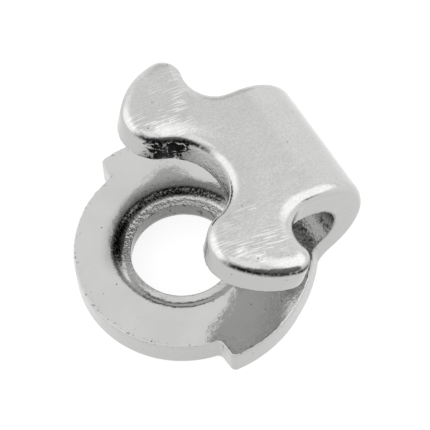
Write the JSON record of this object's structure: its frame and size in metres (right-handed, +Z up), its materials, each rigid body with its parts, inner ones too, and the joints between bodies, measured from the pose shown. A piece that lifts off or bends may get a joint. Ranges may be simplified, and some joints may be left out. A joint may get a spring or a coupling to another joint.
{
  "type": "lace hook",
  "caption": "Riveted boot lace hook: plated sheet steel with a ring base round a rivet hole, a return bend and an open hook plate with rounded horns.",
  "frame": {"origin": "centre of the rivet hole at the base's underside", "axes": "+Z up the rivet hole towards the hook plate, +X from the hole towards the return bend"},
  "size_m": [0.0124, 0.012, 0.0079],
  "materials": {
    "plated_steel": "polished"
  },
  "bodies": {
    "root": {"base_ring": "plated_steel", "return_bend": "plated_steel", "hook_plate": "plated_steel"}
  },
  "joints": []
}
